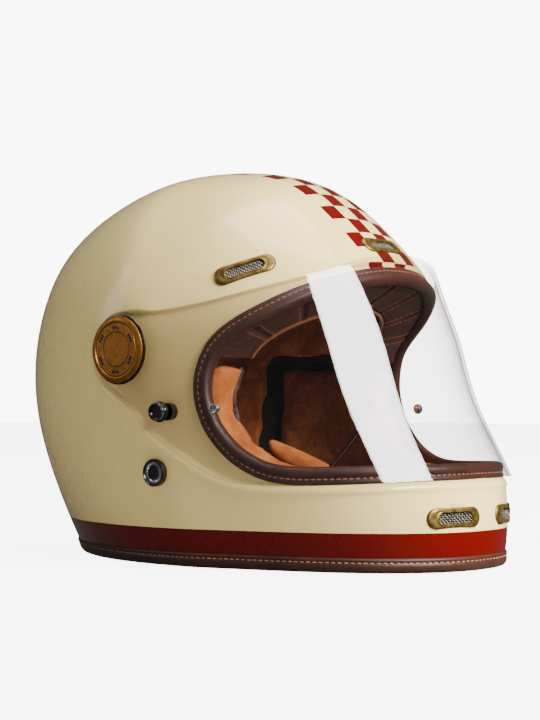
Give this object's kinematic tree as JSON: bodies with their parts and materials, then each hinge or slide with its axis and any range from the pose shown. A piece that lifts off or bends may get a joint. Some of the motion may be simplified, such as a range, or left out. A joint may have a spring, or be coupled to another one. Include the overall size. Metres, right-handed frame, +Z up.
{
  "type": "full-face motorcycle helmet",
  "caption": "Retro full-face helmet with a clear flip-up visor on side pivots, leather trims, mesh vents, quilted pads and a double D-ring chin strap.",
  "frame": {"origin": "centre of the bounding box in X and Y, at the helmet's lowest plane", "axes": "+Z up, the wearer faces -Y, the wearer's right is -X"},
  "size_m": [0.239, 0.3418, 0.2445],
  "materials": {
    "shell_paint": "cream lacquer under a clear coat",
    "leather": "satin brown leather",
    "suede": "napped tan suede",
    "lining": "brushed brown knit",
    "foam": "moulded bead foam",
    "visor_clear": "clear polycarbonate",
    "brass": "aged satin brass",
    "wire_mesh": "woven wire",
    "steel": "polished",
    "black_plastic": "moulded black",
    "webbing": "woven polyester"
  },
  "bodies": {
    "helmet": {"outer_shell": "shell_paint", "eyeport_trim": "leather", "bottom_trim": "leather", "crown_eps": "foam", "chin_eps": "foam", "crown_pad": "lining", "brow_pad": "leather", "cheek_pad_right": "suede", "cheek_pad_left": "suede", "neck_roll": "leather", "chin_lining": "lining", "latch_stud": "black_plastic", "vent_bezel_brow_right": "brass", "vent_mesh_brow_right": "wire_mesh", "vent_bezel_brow_centre": "brass", "vent_mesh_brow_centre": "wire_mesh", "vent_bezel_brow_left": "brass", "vent_mesh_brow_left": "wire_mesh", "vent_bezel_chin_right": "brass", "vent_mesh_chin_right": "wire_mesh", "vent_bezel_chin_left": "brass", "vent_mesh_chin_left": "wire_mesh", "vent_bezel_rear_right": "brass", "vent_mesh_rear_right": "wire_mesh", "vent_bezel_rear_left": "brass", "vent_mesh_rear_left": "wire_mesh", "pivot_cap_right": "brass", "pivot_cap_left": "brass", "pivot_washer_right": "black_plastic", "pivot_washer_left": "black_plastic", "pivot_base_right": "black_plastic", "pivot_base_left": "black_plastic", "pivot_bush_right": "brass", "pivot_bush_left": "brass", "pivot_screw_right": "steel", "pivot_screw_left": "steel", "pivot_nut_right": "steel", "pivot_nut_left": "steel", "strap_anchor_cap_right": "steel", "strap_anchor_cap_left": "steel", "strap_rivet_right": "steel", "strap_rivet_left": "steel", "strap_anchor_plate_right": "steel", "strap_anchor_plate_left": "steel"},
    "visor": {"visor": "visor_clear", "visor_pin_right": "steel", "visor_pin_left": "steel"},
    "latch_knob": {"latch_knob": "black_plastic"},
    "chin_strap": {"chin_strap_right": "webbing", "chin_strap_left": "webbing", "d_ring_outer": "steel", "d_ring_inner": "steel", "strap_stud": "black_plastic"}
  },
  "joints": [
    {"name": "visor_lift", "type": "hinge", "parent": "helmet", "child": "visor", "pos_m": [0, 0.0155, 0.1283], "axis": [-1, 0, 0], "range_deg": [0, 55]},
    {"name": "latch_pull", "type": "slide", "parent": "visor", "child": "latch_knob", "axis": [1, 0, 0], "range_m": [0, 0.0015]},
    {"name": "strap_swing", "type": "hinge", "parent": "helmet", "child": "chin_strap", "pos_m": [0, -0.006, 0.0555], "axis": [1, 0, 0], "range_deg": [-20, 20]}
  ]
}
